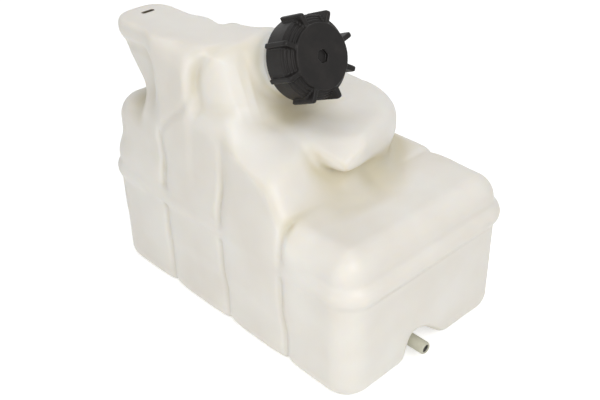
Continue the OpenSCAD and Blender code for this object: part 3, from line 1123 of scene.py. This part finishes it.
@dataclass(frozen=True)
class Rubber:
    """Moulded black rubber: matt, with a dusty bloom."""

    name: str = "seal_rubber"
    colour: str = "1B1B1C"
    bloom: str = "2E2D2B"

    def build(self) -> bpy.types.Material:
        """Layers the bloom and a fine grain.

        Returns:
            The material.
        """
        s = Surface(self.name)
        s.paint(self.colour, (s.pattern(4.0, 5.0, 0.65), 0.45, 0.8, self.bloom))
        s.vary(s.pattern(2.0), 0.3, 0.7, (0.62, 0.82))
        s.relief((s.pattern(0.7), 0.02))
        return s.material


@dataclass(frozen=True)
class Metal:
    """Drawn or turned metal: bright, with faint streaks along the way it was drawn or round its turning."""

    name: str
    colour: str
    dark: str
    roughness: float
    stretch: Point = (6.0, 6.0, 1.0)

    def build(self) -> bpy.types.Material:
        """Layers dull patches and streaks.

        Returns:
            The material.
        """
        s = Surface(self.name, Metallic=1.0)
        s.paint(self.colour, (s.pattern(2.5, 4.0), 0.4, 0.8, self.dark))
        streaks = s.pattern(0.5, 3.0, 0.6, self.stretch)
        s.vary(streaks, 0.3, 0.7, (self.roughness - 0.07, self.roughness + 0.1))
        s.relief((streaks, 0.008))
        return s.material


class Finish(Enum):
    """The finishes of the tank's pieces."""

    TANK = TankPlastic()
    SPIGOT = MouldedPlastic("spigot_nylon", "C4C2B0", "B6B3A0", 0.42, cloud_mm=12.0)
    # Painted shade: the dark inside of the spigot's bore
    BORE_SHADE = MouldedPlastic("bore_painted_shade", "2B2925", "3A3731", 0.6, cloud_mm=6.0)
    CAP = MouldedPlastic("cap_black_nylon", "1C1A19", "272422", 0.40, gloss=0.20)
    INSERT = MouldedPlastic("insert_grey_nylon", "4A4B4A", "5A5A57", 0.45)
    RUBBER = Rubber()
    VALVE = Metal("valve_brass", "C8B27A", "A38E5C", 0.3)
    SPRING = Metal("spring_steel", "B9BBBC", "8F9192", 0.25, (1.0, 1.0, 1.0))


class Finishes:
    """Builds each finish once and hands it out."""

    def __init__(self) -> None:
        """Starts with none."""
        self.made: dict[Finish, bpy.types.Material] = {}

    def get(self, finish: Finish) -> bpy.types.Material:
        """Hands out the material of a finish.

        Args:
            finish: The finish.

        Returns:
            Its material, made now if it is the first time.
        """
        if finish not in self.made:
            self.made[finish] = finish.value.build()
        return self.made[finish]


# The pieces


@dataclass
class Tank:
    """The blow-moulded tank with its neck."""

    finishes: Finishes
    grid_mm: float = 2.25
    quick_grid_mm: float = 4.0
    room_mm: float = 10.0
    room_below_mm: float = 6.0
    room_top_z: float = 318.0
    tab_under_z: float = 250.0

    def build(self) -> None:
        """Makes the skin with its slot and bore, and the neck."""
        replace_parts(self.skin(), "tank_body")
        self.neck()

    def skin(self) -> bpy.types.Object:
        """Meshes the tank's outside and cuts the tab's slot and the neck's bore.

        Returns:
            The skin.
        """
        half_length, half_width = TANK.length / 2 + self.room_mm, TANK.width / 2 + self.room_mm
        mesher = FormMesher(TankForm(), (-half_length, -half_width, -self.room_below_mm),
                            (half_length, half_width, self.room_top_z),
                            self.grid_mm)
        obj = new_piece(mesher.build("tank_skin"), "tank", self.finishes.get(Finish.TANK))
        cutters = (self.slot_cutter(), self.bore_cutter())
        for cutter in cutters:
            cut = obj.modifiers.new("cut", "BOOLEAN")
            cut.operation = "DIFFERENCE"
            cut.solver = "EXACT"
            cut.object = cutter
        result = evaluated_mesh(obj)
        obj.modifiers.clear()
        old, obj.data = obj.data, result
        bpy.data.meshes.remove(old)
        result.name = "tank_skin"
        self.paint_slot_shadow(result)
        for cutter in cutters:
            bpy.data.objects.remove(cutter)
        LOG.info("tank skin: %d faces after its cuts", len(result.polygons))
        return obj

    def paint_slot_shadow(self, mesh: bpy.types.Mesh) -> None:
        """Marks the points on the slot's wall, where the plastic gets a painted shadow.

        Args:
            mesh: The skin after its cuts.
        """
        places = np.empty(len(mesh.vertices) * 3)
        mesh.vertices.foreach_get("co", places)
        x, y, z = places.reshape(-1, 3).T / MM
        past = np.maximum(np.abs(y - TANK.slot_centre[1]) - (TANK.slot_length - TANK.slot_width) / 2, 0)
        out = np.hypot(x - TANK.slot_centre[0], past) - TANK.slot_width / 2
        wall = ((out < 0.05) & (z > self.tab_under_z)).astype(np.float32)
        mesh.attributes.new("slot_painted_shadow", "FLOAT", "POINT").data.foreach_set("value", wall)

    def slot_cutter(self) -> bpy.types.Object:
        """Makes a prism with round ends through the tab.

        Returns:
            The prism.
        """
        half, r = (TANK.slot_length - TANK.slot_width) / 2, TANK.slot_width / 2
        x, y = TANK.slot_centre
        outline = []
        for a in (2 * math.pi * i / 24 for i in range(24)):
            end = half if math.sin(a) >= 0 else -half
            outline.append((x + r * math.cos(a), y + end + r * math.sin(a)))
        return self.prism("cutter_slot", outline, (255.0, 305.0))

    def bore_cutter(self) -> bpy.types.Object:
        """Makes a round prism along the neck, narrower than the liner, so that the liner hides the cut.

        Returns:
            The prism.
        """
        angles = [2 * math.pi * i / 64 for i in range(64)]
        outline = [(NECK.cut_r * math.cos(a), NECK.cut_r * math.sin(a)) for a in angles]
        obj = self.prism("cutter_bore", outline, (-30.0, 30.0))
        obj.data.transform(NECK.matrix(0.0))
        return obj

    @staticmethod
    def prism(name: str, outline: Sequence[Span], zs: Span) -> bpy.types.Object:
        """Makes an upright prism whose faces point out.

        Args:
            name: Its name.
            outline: X and Y of its corners in millimetres, anticlockwise.
            zs: Its bottom and top.

        Returns:
            The prism as an object in metres.
        """
        n = len(outline)
        sides = [(i, (i + 1) % n, (i + 1) % n + n, i + n) for i in range(n)]
        mesh = bpy.data.meshes.new(name)
        mesh.from_pydata([(x * MM, y * MM, z * MM) for z in zs for x, y in outline], [],
                         [tuple(range(n))[::-1], tuple(range(n, 2 * n)), *sides])
        return link_object(name, mesh)

    def neck(self) -> None:
        """Turns the neck and its liner, and winds a rounded thread ridge round it."""
        r, bore, liner, end = NECK.thread_root_r, NECK.bore_r, NECK.liner_r, NECK.end
        profile = [(NECK.radius, 8.0), (NECK.radius, 18.5), (r, 19.5), (r, end - 0.6), (r - 0.6, end),
                   (bore + 0.5, end), (bore, end - 0.5), (bore, -28.0), (liner, -29.0), (liner, 8.0)]
        mesh = lathe("tank_neck", profile, NECK.matrix(0.0), 128)
        rise = 2 * NECK.thread_wire_r + NECK.thread_turns * NECK.thread_pitch
        ridge = Coil("thread", r - 0.25, NECK.thread_wire_r, NECK.thread_start, NECK.thread_start + rise,
                     NECK.thread_turns, closing=0.0, taper=0.08)
        plastic = self.finishes.get(Finish.TANK)
        thread = ridge.build(plastic)
        bm = bmesh.new()
        for part in (mesh, thread):
            bm.from_mesh(part)
        bm.to_mesh(mesh)
        bm.free()
        bpy.data.meshes.remove(thread)
        mesh.shade_smooth()
        new_piece(mesh, "tank", plastic)


@dataclass
class Spigot:
    """The outlet spigot pressed into the tank."""

    finishes: Finishes

    def build(self) -> None:
        """Turns the tube and a dark sleeve in its bore, which paints the shade inside it."""
        root, tip, r, bore = SPIGOT.root_x, SPIGOT.tip_x, SPIGOT.radius, SPIGOT.bore_r
        shank, step = SPIGOT.shank_r, SPIGOT.shank_x
        profile = [(shank, root), (shank, step - 0.5), (shank - 0.5, step), (r, step), (r, tip - 2.6),
                   (r - 0.25, tip - 1.5), (r - 0.8, tip - 0.6), (r - 1.6, tip), (bore + 0.5, tip),
                   (bore, tip - 0.5), (bore, root)]
        along_x = Matrix.Rotation(math.radians(90.0), 4, "Y")
        place = Matrix.Translation(Vector((0.0, SPIGOT.y, SPIGOT.z)) * MM) @ along_x
        tube = new_piece(lathe("spigot_tube", profile, place, 64), "tank", self.finishes.get(Finish.SPIGOT))
        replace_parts(tube, "outlet_spigot")
        # A dark sleeve inside the bore paints the shade deep in the tube
        bore_shade_sleeve = [(bore, root + 1), (bore, tip - 1.2), (bore - 0.5, tip - 1.2), (bore - 0.7, root + 1)]
        new_piece(lathe("spigot_bore_shade", bore_shade_sleeve, place, 48), "tank", self.finishes.get(Finish.BORE_SHADE))
        LOG.info("spigot tube: %d faces", len(tube.data.polygons))


@dataclass
class Cap:
    """The shell of the ribbed cap over the neck."""

    finishes: Finishes
    grid_mm: float = 0.75
    quick_grid_mm: float = 1.6

    def build(self) -> None:
        """Meshes the shell on the neck's axis."""
        mesher = FormMesher(CapForm(), (-46.0, -46.0, 17.0), (46.0, 46.0, 60.0),
                            self.grid_mm)
        mesh = mesher.build("cap_shell_skin")
        mesh.transform(NECK.matrix(0.0))
        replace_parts(new_piece(mesh, "cap", self.finishes.get(Finish.CAP)), "cap_shell")


@dataclass
class Springs:
    """The two coil springs in the cap."""

    finishes: Finishes

    def build(self) -> None:
        """Winds both springs."""
        big = Coil("pressure_spring_wire", 9.5, 1.0, 29.0, 46.0, 5.5)
        small = Coil("vacuum_spring_wire", 3.1, 0.35, 32.05, 37.95, 5.0)
        self.spring(big, "pressure_spring", "cap_core")
        self.spring(small, "vacuum_spring", "pressure_valve")

    def spring(self, coil: Coil, node: str, body: str) -> None:
        """Adds one spring in place of its CAD solid.

        Args:
            coil: The spring's sizes.
            node: The CAD solid it stands for.
            body: The body it rides on.
        """
        steel = self.finishes.get(Finish.SPRING)
        obj = new_piece(coil.build(steel), body, steel)
        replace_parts(obj, node)
        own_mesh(obj)


# The finish of each CAD solid that is carried over
CARRIED = {
    "cap_insert": Finish.INSERT,
    "insert_o_ring": Finish.RUBBER,
    "pressure_seal": Finish.RUBBER,
    "pressure_plate": Finish.VALVE,
    "vacuum_valve": Finish.VALVE,
    "spring_retainer": Finish.INSERT,
}


def dress_cad_nodes(finishes: Finishes, frame: dict) -> None:
    """Gives the CAD solids that still show their finishes.

    Args:
        finishes: The made finishes.
    """
    for name, finish in CARRIED.items():
        obj = frame["nodes"][name]
        material = finishes.get(finish)
        if not obj.material_slots:
            obj.data.materials.append(material)
        for slot in obj.material_slots:
            slot.material = material
        LOG.info("%s: %s", name, material.name)


# The studio


def shown(graph: Graph, to_surfaces: bpy.types.Node, to_eye: bpy.types.Node) -> bpy.types.Node:
    """Shows one shader to most rays and another to the camera and to glossy and transmitted rays.

    Args:
        graph: The tree of both.
        to_surfaces: The shader that lights the object.
        to_eye: The shader that is looked at.

    Returns:
        The node that mixes them.
    """
    path = graph.add("ShaderNodeLightPath").outputs
    rays = path["Is Camera Ray"]
    for kind in ("Is Glossy Ray", "Is Transmission Ray"):
        rays = graph.add("ShaderNodeMath", {"operation": "MAXIMUM"}, _0=rays, _1=path[kind])
    return graph.add("ShaderNodeMixShader", _0=rays, _1=to_surfaces, _2=to_eye)


@dataclass(frozen=True)
class Studio:
    """Floor, lamps and the camera at the photograph's place, in millimetres."""

    camera_at: Point = (590.7, -552.6, 613.3)
    turn_deg: float = -46.92
    down_deg: float = 32.44
    roll_deg: float = 1.244
    lens_mm: float = 54.0
    floor_half: float = 9000.0

    def build(self) -> None:
        """Makes them all."""
        self.world()
        self.floor()
        self.lamp("key", (1300, -500, 1300), (60, 0, 120), 900, 12.4)
        self.lamp("near", (420, -1050, 420), (60, -60, 110), 900, 3.0)
        self.lamp("top", (-100, 300, 1900), (0, 0, 150), 1400, 7.0)
        self.camera()

    @staticmethod
    def world() -> None:
        """Lights the object with a pale world that the camera sees as white."""
        world = bpy.data.worlds.new("studio")
        bpy.context.scene.world = world
        world.use_nodes = True
        graph = Graph(world.node_tree)
        soft = graph.add("ShaderNodeBackground", Color=srgb("F4F5F7"), Strength=0.45)
        white = graph.add("ShaderNodeBackground", Color=srgb("FFFFFF"), Strength=1.0)
        graph.add("ShaderNodeOutputWorld", Surface=shown(graph, soft, white))

    def floor(self) -> None:
        """Lays a wide floor, white to the camera but for the object's faint shadow."""
        r = self.floor_half * MM
        mesh = bpy.data.meshes.new("floor")
        mesh.from_pydata([(-r, -r, 0.0), (r, -r, 0.0), (r, r, 0.0), (-r, r, 0.0)], [], [(0, 1, 2, 3)])
        s = Surface("floor_white", Base_Color=srgb("F2F2F0"), Roughness=0.9, Specular_IOR_Level=0.0)
        glow = s.add("ShaderNodeEmission", Color=srgb("FFFFFF"), Strength=0.55)
        both = s.add("ShaderNodeAddShader", _0=s.shader, _1=glow)
        s.feed(s.output, Surface=shown(s, s.shader, both))
        mesh.materials.append(s.material)
        link_object("floor", mesh)

    @staticmethod
    def lamp(name: str, at: Point, to: Point, size: float, watts: float) -> None:
        """Adds a square soft lamp.

        Args:
            name: Its name.
            at: Where it hangs, in millimetres.
            to: The point it faces.
            size: Length of its sides.
            watts: Its power.
        """
        data = bpy.data.lights.new(name, "AREA")
        data.shape = "SQUARE"
        data.size = size * MM
        data.energy = watts
        obj = link_object(name, data)
        turn = (Vector(to) - Vector(at)).to_track_quat("-Z", "Y").to_matrix().to_4x4()
        obj.matrix_world = Matrix.Translation(Vector(at) * MM) @ turn
        obj.visible_camera = False

    def camera(self) -> None:
        """Puts the camera where the photograph was taken from."""
        data = bpy.data.cameras.new("camera")
        data.lens = self.lens_mm
        data.sensor_width = 36.0
        data.clip_start, data.clip_end = 0.01, 50.0
        a, e, r = (math.radians(v) for v in (self.turn_deg, self.down_deg, self.roll_deg))
        forward = Vector((math.sin(a) * math.cos(e), math.cos(a) * math.cos(e), -math.sin(e)))
        right = Vector((math.cos(a), -math.sin(a), 0.0))
        down = forward.cross(right)
        right, down = math.cos(r) * right + math.sin(r) * down, -math.sin(r) * right + math.cos(r) * down
        turn = Matrix((right, -down, -forward)).transposed().to_4x4()
        obj = link_object("camera", data)
        obj.matrix_world = Matrix.Translation(Vector(self.camera_at) * MM) @ turn
        bpy.context.scene.camera = obj


def main() -> None:
    """Builds the pieces in order and logs some of them."""
    logging.basicConfig(level=logging.INFO, format="%(name)s: %(message)s")
    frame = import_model()
    bpy.context.scene.view_settings.view_transform = "Standard"
    finishes = Finishes()
    Studio().build()
    Tank(finishes).build()
    Spigot(finishes).build()
    Cap(finishes).build()
    Springs(finishes).build()
    dress_cad_nodes(finishes, frame)


if __name__ == "__main__":
    main()
